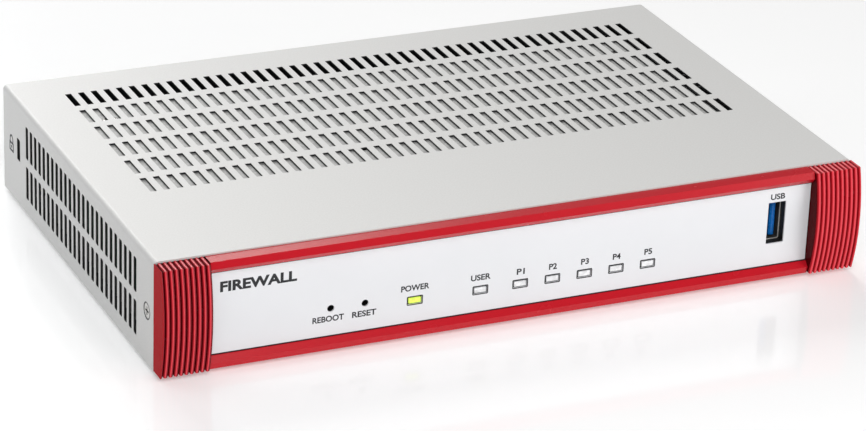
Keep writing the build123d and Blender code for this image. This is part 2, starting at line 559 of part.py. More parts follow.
with BuildPart() as usb_insulator:
    block_half_w, block_half_h = inner_width / 2 - USB_SLIT, inner_height / 2 - USB_SLIT
    span(
        (USB_X - block_half_w, USB_X + block_half_w), (USB_PLUG_END, USB_BACK - USB_WALL),
        (USB_Z - block_half_h, USB_Z + block_half_h),
    )
    chamfer(usb_insulator.edges().filter_by(Axis.Y), USB_WALL)
    tongue_z = (USB_Z - USB_TONGUE_HALF_H, USB_Z + USB_TONGUE_HALF_H)
    span(tongue_x, (USB_TONGUE_FRONT, USB_PLUG_END), tongue_z)
    chamfer(usb_insulator.faces().sort_by(Axis.Y)[0].edges().filter_by(Axis.Z), USB_TONGUE_CHAMFER)
write(usb_insulator, "usb_insulator")

with BuildPart() as usb_contacts:
    contact_x = tongue_x[0] - USB_CONTACT_SIZE[0] / 2
    with Locations(*[(contact_x, USB_CONTACT_Y, USB_Z + h) for h in USB_CONTACT_HS]):
        Box(*USB_CONTACT_SIZE)
write(usb_contacts, "usb_contacts")

with BuildPart() as usb_stand:
    stand_x = (USB_X - USB_STAND_HALF_W, USB_X + USB_STAND_HALF_W)
    stand_back = USB_BACK + USB_STAND_WALL
    span(stand_x, (USB_STAND_FRONT, stand_back), (BOARD_TOP, USB_Z - USB_HEIGHT / 2 - USB_SLIT))
    span(stand_x, (USB_BACK + USB_SLIT, stand_back), (BOARD_TOP, USB_Z + USB_STAND_RISE))
    fillet(usb_stand.edges().filter_by(Axis.X).sort_by(Axis.Z)[-1], 1.0)
write(usb_stand, "usb_stand")

# ---- circuit board and what holds it ----------------------------------------------------

with BuildPart() as main_board:
    with BuildSketch(Plane.XY.offset(BOARD_BOTTOM)):
        with Locations((0, (BOARD_FRONT + BOARD_BACK) / 2)):
            RectangleRounded(2 * BOARD_HALF_W, BOARD_BACK - BOARD_FRONT, BOARD_CORNER)
        with Locations(*CORNER_POSTS, *SPREADER_POSTS):
            Circle(BOARD_HOLE_R, mode=Mode.SUBTRACT)
    extrude(amount=BOARD_THICK)
write(main_board, "main_board")

with BuildPart() as board_standoffs:
    with BuildSketch(Plane.XY.offset(FLOOR)):
        with Locations(*CORNER_POSTS, *SPREADER_POSTS):
            RegularPolygon(STANDOFF_FLATS / 2, 6, major_radius=False)
            Circle(THREAD_HOLE_R, mode=Mode.SUBTRACT)
    extrude(amount=BOARD_BOTTOM - FLOOR)
write(board_standoffs, "board_standoffs")

with BuildPart() as board_screws:
    with Locations(*[(x, y, BOARD_TOP + PAN_HEAD_HEIGHT) for x, y in CORNER_POSTS]):
        add(screw(PAN_HEAD_R, PAN_HEAD_HEIGHT, 8, flat=False))
write(board_screws, "board_screws")

with BuildPart() as insulating_sheet:
    with BuildSketch(Plane.XY.offset(FLOOR + SHEET_GAP)):
        with Locations((0, SHEET_MID_Y)):
            RectangleRounded(2 * BOARD_HALF_W, SHEET_DEPTH, SHEET_CORNER)
        with Locations(*CORNER_POSTS, *SPREADER_POSTS):
            Circle(STANDOFF_FLATS, mode=Mode.SUBTRACT)
        # Open over the keyholes, so that a wall screw's head has room above the floor.
        with Locations(*KEYHOLE_MIDS):
            Rectangle(3 * KEYHOLE_HEAD_R, KEYHOLE_TRAVEL + 3 * KEYHOLE_HEAD_R, mode=Mode.SUBTRACT)
    extrude(amount=SHEET_THICK)
write(insulating_sheet, "insulating_sheet")

# ---- cooling ----------------------------------------------------------------------------

with BuildPart() as spreader_pillars:
    with BuildSketch(Plane.XY.offset(BOARD_TOP)):
        with Locations(*SPREADER_POSTS):
            RegularPolygon(STANDOFF_FLATS / 2, 6, major_radius=False)
    extrude(amount=SPREADER_BOTTOM - BOARD_TOP)
    with BuildSketch(Plane.XY.offset(SPREADER_BOTTOM)):
        with Locations(*SPREADER_POSTS):
            Circle(THREAD_HOLE_R)
    extrude(amount=-PILLAR_TAP, mode=Mode.SUBTRACT)
    with BuildSketch(Plane.XY.offset(BOARD_TOP)):
        with Locations(*SPREADER_POSTS):
            Circle(SHANK_R)
    extrude(amount=-PILLAR_STUD)
write(spreader_pillars, "spreader_pillars")

with BuildPart() as heat_spreader:
    with BuildSketch(facing_front(SPREADER_BACK)):
        flange_foot = SPREADER_TOP - SPREADER_FLANGE
        left_inner, right_inner = SPREADER_LEFT + SPREADER_THICK, SPREADER_RIGHT - SPREADER_THICK
        with BuildLine():
            Polyline(
                (SPREADER_LEFT, flange_foot), (SPREADER_LEFT, SPREADER_TOP), (SPREADER_RIGHT, SPREADER_TOP),
                (SPREADER_RIGHT, flange_foot), (right_inner, flange_foot), (right_inner, SPREADER_BOTTOM),
                (left_inner, SPREADER_BOTTOM), (left_inner, flange_foot), close=True,
            )
        make_face()
    extrude(amount=SPREADER_BACK - SPREADER_FRONT)
    fillet(heat_spreader.edges().filter_by(Axis.Y).group_by(Axis.Z)[-1], SPREADER_BEND)
    with Locations(*[(x, y, SPREADER_TOP) for x, y in SPREADER_POSTS + BLOCK_SCREWS]):
        CounterSinkHole(radius=BOARD_HOLE_R, counter_sink_radius=FLAT_HEAD_R + GAP,
                        depth=2 * SPREADER_THICK, counter_sink_angle=SCREW_ANGLE)
write(heat_spreader, "heat_spreader")

with BuildPart() as spreader_screws:
    with Locations(*[(x, y, SPREADER_TOP - SCREW_SUNK) for x, y in SPREADER_POSTS + BLOCK_SCREWS]):
        add(screw(FLAT_HEAD_R, 0, 7, flat=True))
write(spreader_screws, "spreader_screws")

with BuildPart() as heat_block:
    half_block = BLOCK_SIDE / 2
    block_x = (CHIP_X - half_block, CHIP_X + half_block)
    span(block_x, (CHIP_Y - half_block, CHIP_Y + half_block), (BLOCK_BOTTOM, SPREADER_BOTTOM))
    for groove_z in BLOCK_GROOVE_ZS:
        for toward in (-1, 1):
            wall = CHIP_Y + toward * half_block
            groove_y = sorted((wall, wall - toward * BLOCK_GROOVE_DEPTH))
            span(block_x, groove_y, (groove_z, groove_z + BLOCK_GROOVE_HEIGHT), mode=Mode.SUBTRACT)
    with BuildSketch(Plane.XY.offset(SPREADER_BOTTOM)):
        with Locations(*BLOCK_SCREWS):
            Circle(THREAD_HOLE_R)
    extrude(amount=-BLOCK_TAP, mode=Mode.SUBTRACT)
write(heat_block, "heat_block")


def chip(places, size, edge=0.2):
    """Flat packages that sit on the board at the given (x, y) places, edges slightly broken."""
    with BuildPart() as package:
        with BuildSketch(Plane.XY.offset(BOARD_TOP)):
            with Locations(*places):
                Rectangle(size[0], size[1])
        extrude(amount=size[2])
        chamfer(package.faces().group_by(Axis.Z)[-1].edges(), edge)
    return package


def square_plate(side, bottom, top):
    """A square plate centred on the processor."""
    half = side / 2
    span((CHIP_X - half, CHIP_X + half), (CHIP_Y - half, CHIP_Y + half), (bottom, top))


with BuildPart() as processor:
    square_plate(CARRIER_SIDE, BOARD_TOP, BOARD_TOP + CARRIER_THICK)
    square_plate(LID_SIDE, BOARD_TOP + CARRIER_THICK, BLOCK_BOTTOM - PAD_THICK)
write(processor, "processor")

with BuildPart() as thermal_pad:
    square_plate(PAD_SIDE, BLOCK_BOTTOM - PAD_THICK, BLOCK_BOTTOM)
write(thermal_pad, "thermal_pad")

write(chip(MEMORY_AT, MEMORY_SIZE), "memory_chips")
write(chip(STORAGE_AT, STORAGE_SIZE), "storage_chip")
write(chip(SWITCH_CHIP_AT, SWITCH_CHIP_SIZE), "network_switch_chip")
write(chip([(x, TRANSFORMER_Y) for x in LAN_XS], TRANSFORMER_SIZE, edge=0.4), "lan_transformers")
write(chip(INDUCTORS_AT, INDUCTOR_SIZE, edge=0.6), "power_inductors")
write(chip(REGULATORS_AT, REGULATOR_SIZE, edge=0.1), "voltage_regulators")
write(chip(CRYSTALS_AT, CRYSTAL_SIZE, edge=0.1), "clock_crystals")

with BuildPart() as input_capacitors:
    with BuildSketch(Plane.XY.offset(BOARD_TOP)):
        with Locations(*CAPACITORS_AT):
            Circle(CAPACITOR_R)
    extrude(amount=CAPACITOR_HEIGHT)
    fillet(input_capacitors.faces().group_by(Axis.Z)[-1].edges(), 0.5)
write(input_capacitors, "input_capacitors")

with BuildPart() as clock_battery:
    with BuildSketch(Plane.XY.offset(BOARD_TOP + HOLDER_FLOOR + SHEET_GAP)):
        with Locations(BATTERY_AT):
            Circle(BATTERY_R)
    extrude(amount=BATTERY_HEIGHT)
    fillet(clock_battery.faces().sort_by(Axis.Z)[-1].edges(), 0.4)
write(clock_battery, "clock_battery")

with BuildPart() as battery_holder:
    with BuildSketch(Plane.XY.offset(BOARD_TOP)):
        with Locations(BATTERY_AT):
            Circle(HOLDER_R)
    extrude(amount=HOLDER_HEIGHT)
    with BuildSketch(Plane.XY.offset(BOARD_TOP + HOLDER_FLOOR)):
        with Locations(BATTERY_AT):
            Circle(BATTERY_R + GAP / 2)
    extrude(amount=HOLDER_HEIGHT, mode=Mode.SUBTRACT)
write(battery_holder, "battery_holder")

# ---- sockets in the back ----------------------------------------------------------------


def jack_housing(centres):
    """Black moulding with one stepped plug opening for each centre."""
    left = centres[0] - JACK_WIDTH / 2 + JACK_SKIN
    right = centres[-1] + JACK_WIDTH / 2 - JACK_SKIN
    with BuildPart() as housing:
        inside_y = (JACK_REAR + JACK_SKIN, JACK_MOUTH - JACK_SKIN)
        span((left, right), inside_y, (JACK_BOTTOM, JACK_TOP - JACK_SKIN))
        with BuildSketch(facing_front(JACK_MOUTH + CUT)):
            # The plug's body, its latch and the latch's tab, each cut from its own bottom up.
            steps = [(PLUG_WIDTH, PLUG_BOTTOM), (LATCH_WIDTH, LATCH_BOTTOM), (TAB_WIDTH, TAB_BOTTOM)]
            for width, bottom in steps:
                with Locations(*[(x, (bottom + PLUG_TOP) / 2) for x in centres]):
                    Rectangle(width, PLUG_TOP - bottom)
        extrude(amount=PLUG_DEPTH + CUT, mode=Mode.SUBTRACT)
    return housing


def jack_shield(centres):
    """Thin metal can round a housing: top, sides, back, and a face with a window for each plug."""
    left, right = centres[0] - JACK_WIDTH / 2, centres[-1] + JACK_WIDTH / 2
    with BuildPart() as shield:
        span((left, right), (JACK_REAR, JACK_MOUTH), (JACK_BOTTOM, JACK_TOP))
        fillet(shield.faces().sort_by(Axis.Z)[-1].edges(), JACK_SKIN)
        span(
            (left + JACK_SKIN, right - JACK_SKIN), (JACK_REAR + JACK_SKIN, JACK_MOUTH - JACK_SKIN),
            (JACK_BOTTOM - CUT, JACK_TOP - JACK_SKIN), mode=Mode.SUBTRACT,
        )
        with BuildSketch(facing_front(JACK_MOUTH + CUT)):
            with Locations(*[(x, (TAB_BOTTOM + PLUG_TOP) / 2) for x in centres]):
                Rectangle(PLUG_WIDTH + 2 * JACK_SKIN, PLUG_TOP - TAB_BOTTOM + 2 * JACK_SKIN)
        extrude(amount=JACK_SKIN + 1.5 * CUT, mode=Mode.SUBTRACT)
    return shield


def jack_contacts(centres):
    """Eight sprung wires for each plug, sloping down from the roof of its opening."""
    with BuildPart() as wires:
        for centre in centres:
            for wire in range(WIRE_COUNT):
                wire_x = centre + WIRE_PITCH * (wire - (WIRE_COUNT - 1) / 2)
                with BuildSketch(Plane.YZ.offset(wire_x - WIRE_THICK / 2)):
                    with Locations((WIRE_Y, WIRE_Z)):
                        Rectangle(WIRE_LENGTH, WIRE_THICK, rotation=WIRE_SLOPE)
                extrude(amount=WIRE_THICK)
    return wires


write(jack_housing(LAN_XS), "lan_port_housing")
write(jack_shield(LAN_XS), "lan_port_shield")
write(jack_contacts(LAN_XS), "lan_port_contacts")
write(jack_housing([CONSOLE_X]), "console_port_housing")
write(jack_shield([CONSOLE_X]), "console_port_shield")
write(jack_contacts([CONSOLE_X]), "console_port_contacts")

with BuildPart() as power_inlet:
    inlet_x = (INLET_X - INLET_NOSE_R, INLET_X + INLET_NOSE_R)
    behind_wall = TRAY_BACK - SHEET - GAP
    span(inlet_x, (INLET_REAR, behind_wall), (BOARD_TOP, INLET_Z + INLET_NOSE_R))
    chamfer(power_inlet.edges().filter_by(Axis.Y).group_by(Axis.Z)[-1], INLET_CHAMFER)
    with BuildSketch(facing_front(JACK_MOUTH)):
        with Locations((INLET_X, INLET_Z)):
            Circle(INLET_NOSE_R)
    extrude(amount=JACK_MOUTH - behind_wall)
    with BuildSketch(facing_front(JACK_MOUTH)):
        with Locations((INLET_X, INLET_Z)):
            Circle(INLET_BORE_R)
    extrude(amount=INLET_BORE_DEPTH, mode=Mode.SUBTRACT)
write(power_inlet, "power_inlet")

with BuildPart() as power_inlet_pin:
    with BuildSketch(facing_front(JACK_MOUTH - INLET_BORE_DEPTH)):
        with Locations((INLET_X, INLET_Z)):
            Circle(INLET_PIN_R)
    extrude(amount=-INLET_PIN_LENGTH)
    fillet(power_inlet_pin.faces().sort_by(Axis.Y)[-1].edges(), 0.6)
write(power_inlet_pin, "power_inlet_pin")

# The power button is drawn pushed in and latched. Let go, it comes out along +Y.
stem_hole = POWER_STEM + 2 * POWER_STEM_GAP
with BuildPart() as power_switch:
    switch_x = (POWER_X - POWER_SWITCH_HALF, POWER_X + POWER_SWITCH_HALF)
    span(switch_x, (POWER_SWITCH_BACK, POWER_SWITCH_FRONT), (BOARD_TOP, POWER_Z + POWER_SWITCH_HALF))
    chamfer(power_switch.edges().filter_by(Axis.Y).group_by(Axis.Z)[-1], 0.6)
    with BuildSketch(facing_front(POWER_SWITCH_FRONT)):
        with Locations((POWER_X, POWER_Z)):
            Rectangle(stem_hole, stem_hole)
    extrude(amount=POWER_HOLE_DEPTH, mode=Mode.SUBTRACT)
write(power_switch, "power_switch")

with BuildPart() as power_switch_stem:
    stem_y = (POWER_SWITCH_FRONT - POWER_STEM_INSIDE, POWER_CAP_BACK + POWER_STEM_SOCKETED)
    with BuildSketch(facing_front(stem_y[1])):
        with Locations((POWER_X, POWER_Z)):
            Rectangle(POWER_STEM, POWER_STEM)
    extrude(amount=stem_y[1] - stem_y[0])
write(power_switch_stem, "power_switch_stem")

with BuildPart() as power_button:
    with BuildSketch(facing_front(POWER_FACE)):
        with Locations((POWER_X, POWER_Z)):
            Circle(POWER_CAP_R)
    extrude(amount=POWER_FACE - POWER_CAP_BACK)
    fillet(power_button.faces().sort_by(Axis.Y)[-1].edges(), 0.5)
    with BuildSketch(facing_front(POWER_CAP_BACK + POWER_SOCKET_DEPTH)):
        with Locations((POWER_X, POWER_Z)):
            Rectangle(stem_hole, stem_hole)
    extrude(amount=POWER_SOCKET_DEPTH + CUT, mode=Mode.SUBTRACT)
write(power_button, "power_button")
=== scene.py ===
"""Looks of the desktop firewall appliance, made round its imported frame. Everything is in metres."""

import json
import math

import bmesh
import bpy
from mathutils import Matrix, Vector


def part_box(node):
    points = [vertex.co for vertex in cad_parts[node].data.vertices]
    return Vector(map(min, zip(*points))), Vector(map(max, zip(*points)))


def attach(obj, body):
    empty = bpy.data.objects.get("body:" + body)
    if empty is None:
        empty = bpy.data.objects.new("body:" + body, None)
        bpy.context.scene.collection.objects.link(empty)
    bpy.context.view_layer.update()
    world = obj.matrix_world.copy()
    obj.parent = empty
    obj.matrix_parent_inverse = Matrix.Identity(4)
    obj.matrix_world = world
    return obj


MM = 0.001

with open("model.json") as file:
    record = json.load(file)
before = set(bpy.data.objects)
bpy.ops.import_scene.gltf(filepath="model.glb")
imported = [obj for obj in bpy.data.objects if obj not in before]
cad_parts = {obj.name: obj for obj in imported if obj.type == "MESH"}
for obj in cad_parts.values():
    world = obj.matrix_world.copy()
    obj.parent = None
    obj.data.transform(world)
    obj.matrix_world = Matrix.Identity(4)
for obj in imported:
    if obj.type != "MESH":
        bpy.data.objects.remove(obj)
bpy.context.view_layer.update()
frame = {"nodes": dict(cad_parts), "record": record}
nodes = frame["nodes"]

CASE_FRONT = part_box("top_cover")[0].y
CASE_MIDDLE = 17.5 * MM  # height of the middle of the case over the floor
BEZEL_HALF_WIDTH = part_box("front_bezel")[1].x
BEZEL_INNER = 93.465 * MM  # where the ribbed ends of the bezel begin
PITCHES_PER_END = 9.5  # rib spacings across one ribbed end
RIB_PITCH = (BEZEL_HALF_WIDTH - BEZEL_INNER) / PITCHES_PER_END
PANEL_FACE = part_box("front_panel")[0].y
LEFT_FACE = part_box("top_cover")[0].x
BACK_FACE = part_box("base_tray")[1].y

# ---- camera, light and floor ------------------------------------------------------------

CAMERA_AZIMUTH, CAMERA_ELEVATION, CAMERA_ROLL = -24.78, 24.14, 2.26
CAMERA_DISTANCE = 1.1002
CAMERA_TARGET = Vector((22.6, 41.4, -16.2)) * MM
CAMERA_LENS = 145.7
FLOOR_HALF = 6.0

# Softboxes: azimuth, elevation, distance, side length, power and colour.
SOFTBOXES = {
    "over_front": (-12, 45, 0.75, 0.45, 2.4, (1, 1, 1)),
    "front_right": (50, 12, 1.0, 0.6, 4.6, (1, 1, 1)),
    "left_near": (-120, 30, 0.5, 0.3, 0.44, (0.93, 0.96, 1.0)),
    "back_high": (170, 38, 1.8, 0.7, 9.6, (1.0, 0.985, 0.96)),
    "back_low": (180, 16, 1.8, 0.7, 14.45, (1, 1, 1)),
}


def direction(azimuth, elevation):
    """Unit vector from the object towards a place round it. Azimuth 0 is the front, 90 the right."""
    a, e = math.radians(azimuth), math.radians(elevation)
    return Vector((math.sin(a) * math.cos(e), -math.cos(a) * math.cos(e), math.sin(e)))


def make_camera():
    back = direction(CAMERA_AZIMUTH, CAMERA_ELEVATION)
    right = Vector((0, 0, 1)).cross(back).normalized()
    up = back.cross(right)
    roll = math.radians(CAMERA_ROLL)
    rolled_right = right * math.cos(roll) + up * math.sin(roll)
    rolled_up = up * math.cos(roll) - right * math.sin(roll)
    data = bpy.data.cameras.new("camera")
    data.lens = CAMERA_LENS
    data.clip_start, data.clip_end = 0.01, 100
    camera = bpy.data.objects.new("camera", data)
    axes = Matrix((rolled_right, rolled_up, back)).transposed().to_4x4()
    camera.matrix_world = Matrix.Translation(CAMERA_TARGET + back * CAMERA_DISTANCE) @ axes
    bpy.context.scene.collection.objects.link(camera)
    bpy.context.scene.camera = camera


def softbox(name, azimuth, elevation, distance, side, power, color):
    """A square light that faces the middle of the object."""
    data = bpy.data.lights.new(name, "AREA")
    data.shape = "RECTANGLE"
    data.size = data.size_y = side
    data.energy = power
    data.color = color
    light = bpy.data.objects.new(name, data)
    towards = direction(azimuth, elevation)
    light.location = towards * distance
    light.rotation_mode = "QUATERNION"
    light.rotation_quaternion = (-towards).to_track_quat("-Z", "Y")
    bpy.context.scene.collection.objects.link(light)


def make_light():
    world = bpy.data.worlds.new("studio")
    world.use_nodes = True
    background = world.node_tree.nodes["Background"]
    background.inputs["Color"].default_value = (0.97, 0.985, 1.0, 1)
    background.inputs["Strength"].default_value = 0.15
    bpy.context.scene.world = world
    for name, values in SOFTBOXES.items():
        softbox(name, *values)
    bpy.context.scene.view_settings.view_transform = "Standard"


def make_floor():
    mesh = bpy.data.meshes.new("floor")
    corners = [(x * FLOOR_HALF, y * FLOOR_HALF, 0) for x, y in ((-1, -1), (1, -1), (1, 1), (-1, 1))]
    mesh.from_pydata(corners, [], [(0, 1, 2, 3)])
    floor = bpy.data.objects.new("floor", mesh)
    bpy.context.scene.collection.objects.link(floor)
    mesh.materials.append(floor_look().material)


# ---- materials --------------------------------------------------------------------------


class Look:
    """A material made of one Principled shader, with short ways to add texture to it. Scales
    are given as the size of one grain in millimetres."""

    def __init__(self, name, color, roughness, **sockets):
        self.material = bpy.data.materials.new(name)
        self.material.use_nodes = True
        self.tree = self.material.node_tree
        self.shader = self.tree.nodes["Principled BSDF"]
        self.shader.inputs["Base Color"].default_value = (*color, 1)
        self.shader.inputs["Roughness"].default_value = roughness
        for socket, value in sockets.items():
            self.shader.inputs[socket.replace("_", " ")].default_value = value
        self.last_bump = None

    def node(self, kind, **values):
        made = self.tree.nodes.new(kind)
        for name, value in values.items():
            if hasattr(made, name):
                setattr(made, name, value)
            else:
                made.inputs[name.replace("_", " ")].default_value = value
        return made

    def link(self, out, into):
        self.tree.links.new(out, into)

    def place(self, stretch=(1, 1, 1)):
        """The point on the object in metres, stretched along the axes."""
        point = self.node("ShaderNodeTexCoord").outputs["Object"]
        if stretch == (1, 1, 1):
            return point
        mapping = self.node("ShaderNodeMapping")
        mapping.inputs["Scale"].default_value = stretch
        self.link(point, mapping.inputs["Vector"])
        return mapping.outputs["Vector"]

    def split(self, vector):
        """The three parts of a vector, as outputs named X, Y and Z."""
        parts = self.node("ShaderNodeSeparateXYZ")
        self.link(vector, parts.inputs[0])
        return parts.outputs

    def facing(self):
        """Which way the surface faces, as outputs named X, Y and Z."""
        return self.split(self.node("ShaderNodeNewGeometry").outputs["Normal"])

    def noise(self, grain, detail=2.0, roughness=0.5, stretch=(1, 1, 1)):
        scale = 1 / (grain * MM)
        noise = self.node("ShaderNodeTexNoise", Scale=scale, Detail=detail, Roughness=roughness)
        self.link(self.place(stretch), noise.inputs["Vector"])
        return noise.outputs["Fac"]

    def ramp(self, fac, stops):
        """Colours or greys spread over the factor: [(position, colour), ...]."""
        ramp = self.node("ShaderNodeValToRGB")
        while len(ramp.color_ramp.elements) < len(stops):
            ramp.color_ramp.elements.new(0.5)
        for element, (position, color) in zip(ramp.color_ramp.elements, stops):
            element.position = position
            element.color = (*color, 1) if isinstance(color, tuple) else (color, color, color, 1)
        self.link(fac, ramp.inputs["Fac"])
        return ramp.outputs["Color"]

    def math(self, operation, *values):
        """One Math or Vector Math step. A tuple makes it a vector step."""
        vector = any(isinstance(v, tuple) or getattr(v, "type", "") == "VECTOR" for v in values)
        step = self.node("ShaderNodeVectorMath" if vector else "ShaderNodeMath", operation=operation)
        for socket, value in zip(step.inputs, values):
            if isinstance(value, (int, float, tuple)):
                socket.default_value = value
            else:
                self.link(value, socket)
        return step.outputs["Value" if operation == "LENGTH" or not vector else "Vector"]

    def mix(self, fac, first, second):
        """Colour between two colours; each may be a socket or a value."""
        mixer = self.node("ShaderNodeMix", data_type="RGBA")
        fac_in, first_in, second_in = mixer.inputs[0], mixer.inputs[6], mixer.inputs[7]
        for socket, value in ((fac_in, fac), (first_in, first), (second_in, second)):
            if isinstance(value, tuple):
                socket.default_value = (*value, 1)
            else:
                self.link(value, socket)
        return mixer.outputs[2]

    def smooth_step(self, value, low, high):
        """0 below low and 1 above high, with a smooth rise between."""
        step = self.node("ShaderNodeMapRange", interpolation_type="SMOOTHSTEP")
        self.link(value, step.inputs["Value"])
        step.inputs["From Min"].default_value, step.inputs["From Max"].default_value = low, high
        return step.outputs["Result"]

    def between(self, fac, dark, light):
        """A colour that wanders between two colours with a noise."""
        return self.ramp(fac, [(0.35, dark), (0.65, light)])

    def set_color(self, color):
        self.link(color, self.shader.inputs["Base Color"])

    def vary_color(self, fac, dark, light):
        self.set_color(self.between(fac, dark, light))

    def vary_roughness(self, fac, smooth, rough):
        self.link(self.ramp(fac, [(0.3, smooth), (0.7, rough)]), self.shader.inputs["Roughness"])

    def bump(self, fac, depth, strength=1.0):
        """Adds relief of a depth in millimetres on top of what is there."""
        bump = self.node("ShaderNodeBump", Strength=strength, Distance=depth * MM)
        self.link(fac, bump.inputs["Height"])
        if self.last_bump:
            self.link(self.last_bump.outputs["Normal"], bump.inputs["Normal"])
        self.link(bump.outputs["Normal"], self.shader.inputs["Normal"])
        self.last_bump = bump


def floor_look():
    look = Look("pale_floor", (0.88, 0.88, 0.88), 0.09, IOR=1.45,
                Emission_Color=(1, 1, 1, 1), Emission_Strength=0.3)
    look.vary_roughness(look.noise(60), 0.08, 0.10)
    look.bump(look.noise(0.9, 3), 0.001, 0.3)
    return look


INNER_HALF = (106.6 * MM, 69.35 * MM, 15.1 * MM)  # half sizes of a box inside the case
SKIN_DISTANCE = 1.3 * MM  # the outside of the sheets lies farther than this from that box
FRONT_EDGE_DEPTH = 0.05 * MM


def outer_skin(look):
    """1 on the powder-coated outside of the folded sheets and on their front edges, and 0 on their inner
    faces and on the walls of their slots, which get painted shade. The distance from the inner box bends
    round its edges."""
    away = look.math("ABSOLUTE", look.math("SUBTRACT", look.place(), (0, 0, CASE_MIDDLE)), (0, 0, 0))
    beyond = look.math("MAXIMUM", look.math("SUBTRACT", away, INNER_HALF), (0, 0, 0))
    skin = look.math("GREATER_THAN", look.math("LENGTH", beyond, (0, 0, 0)), SKIN_DISTANCE)
    place = look.split(look.place())
    front_edge = look.math("LESS_THAN", place["Y"], CASE_FRONT + FRONT_EDGE_DEPTH)
    return look.math("MAXIMUM", skin, front_edge)


def case_paint():
    look = Look("case_paint", (0.72, 0.715, 0.70), 0.48, IOR=1.48)
    paint = look.between(look.noise(0.5, 3), (0.705, 0.70, 0.685), (0.74, 0.735, 0.72))
    # Painted shade: the inner faces of the sheets and the walls of their slots are near black, for the
    # shade inside the case.
    inside_shade = (0.022, 0.022, 0.024)
    look.set_color(look.mix(outer_skin(look), inside_shade, paint))
    look.vary_roughness(look.noise(1.1, 2), 0.45, 0.52)
    look.bump(look.noise(3.2, 2), 0.012, 0.25)
    look.bump(look.noise(0.42, 3, 0.6), 0.007, 0.5)
    return look


RED, RED_LOW, RED_HIGH = (0.56, 0.006, 0.016), (0.555, 0.0055, 0.0155), (0.565, 0.006, 0.0165)
# Lighter red for the painted highlight on the rib crests, darker red for painted shade on the two sides,
# and maroon for the other painted shade.
CREST_HIGHLIGHT_RED, SIDE_SHADE_RED, SHADE_MAROON = (0.90, 0.08, 0.105), (0.47, 0.003, 0.009), (0.075, 0.0, 0.002)
RED_GLOSS, CUT_SHADED, CUT_SIDES, CUT_RIBS = 0.32, 0.28, 0.31, 0.20  # gloss, and what is taken off it
# How strong the painted shade on the right-hand flanks and in the grooves is on the right end.
RIGHT_FLANK_SHADE, RIGHT_GROOVE_SHADE = 0.3, 0.72  # how dark these are on the right end, where 1 is the left end
SIDE_DEPTH, WALL_DEPTH = 0.1 * MM, 0.06 * MM


def bezel_red():
    """Satin red with painted light and shade on the ribbed ends and the sides. Maroon painted shade lies at
    the bottom of the grooves between the end ribs, on the walls of the ends that face the panel, and more
    softly on the right-hand flanks of the ribs, stronger on the left end than on the right. The crests of
    the ribs get a lighter red as a painted highlight and the two sides a darker red as painted shade. The
    ribs and the two sides are less glossy than the rails."""
    look = Look("bezel_red", RED, 0.27)
    red = look.between(look.noise(6, 2), RED_LOW, RED_HIGH)
    place = look.split(look.place())
    out = look.math("ABSOLUTE", place["X"], 0.0)
    on_left_end = look.math("LESS_THAN", place["X"], 0.0)

    def by_end(on_right):
        """1 on the left end and the given value on the right end."""
        return look.math("ADD", on_right, look.math("MULTIPLY", on_left_end, 1 - on_right))

    rib = look.math("DIVIDE", look.math("SUBTRACT", BEZEL_HALF_WIDTH, out), RIB_PITCH)
    from_crest = look.math("ABSOLUTE", look.math("SUBTRACT", rib, look.math("ROUND", rib, 0.0)), 0.0)
    # Painted highlight: lighter red on the crests of the ribs.
    crest_highlight = look.math("SUBTRACT", 1.0, look.smooth_step(from_crest, 0.08, 0.28))
    # Painted shade in the grooves between the ribs, softer on the right end.
    groove_wall_shade = look.math("MULTIPLY", look.smooth_step(from_crest, 0.24, 0.36), 0.62)
    groove_foot_shade = look.math("MULTIPLY", look.smooth_step(from_crest, 0.40, 0.48), 0.38)
    groove_shade = look.math("MULTIPLY", look.math("ADD", groove_wall_shade, groove_foot_shade), by_end(RIGHT_GROOVE_SHADE))
    # Painted shade on the right-hand flanks of the ribs, softer on the right end.
    turned_right = look.smooth_step(look.facing()["X"], -0.1, 0.45)
    flank_shade = look.math("MULTIPLY", turned_right, by_end(RIGHT_FLANK_SHADE))

    at_end = look.math("GREATER_THAN", out, BEZEL_INNER - SIDE_DEPTH)
    inside_sides = look.math("LESS_THAN", out, BEZEL_HALF_WIDTH - SIDE_DEPTH)
    side_face = look.math("SUBTRACT", 1.0, inside_sides)
    ribbed = look.math("MULTIPLY", at_end, inside_sides)
    from_wall = look.math("ABSOLUTE", look.math("SUBTRACT", out, BEZEL_INNER), 0.0)
    # Painted shade on the walls of the ends that face the panel.
    wall_shade = look.math("LESS_THAN", from_wall, WALL_DEPTH)
    # All the maroon painted shade together: grooves, right-hand flanks and end walls.
    painted_shade = look.math("MAXIMUM", look.math("MULTIPLY", look.math("MAXIMUM", groove_shade, flank_shade), ribbed), wall_shade)

    # Darker red of painted shade on the two sides, the lighter red of the painted highlight on the crests,
    # and over them the maroon painted shade.
    plain = look.mix(side_face, red, SIDE_SHADE_RED)
    raised = look.mix(look.math("MULTIPLY", crest_highlight, ribbed), plain, CREST_HIGHLIGHT_RED)
    look.set_color(look.mix(painted_shade, raised, SHADE_MAROON))
    cut = look.math("MULTIPLY", ribbed, CUT_RIBS)
    for where, amount in ((painted_shade, CUT_SHADED), (side_face, CUT_SIDES)):
        cut = look.math("MAXIMUM", cut, look.math("MULTIPLY", where, amount))
    look.link(look.math("SUBTRACT", RED_GLOSS, cut), look.shader.inputs["Specular IOR Level"])
    look.vary_roughness(look.noise(9, 2), 0.265, 0.275)
    look.bump(look.noise(12, 0), 0.004, 0.2)
    return look


def panel_white():
    look = Look("panel_white", (0.82, 0.83, 0.85), 0.3, IOR=1.5)
    look.vary_color(look.noise(12, 2), (0.815, 0.825, 0.845), (0.825, 0.835, 0.855))
    look.vary_roughness(look.noise(9, 2), 0.29, 0.31)
    look.bump(look.noise(6, 1), 0.003, 0.3)
    return look


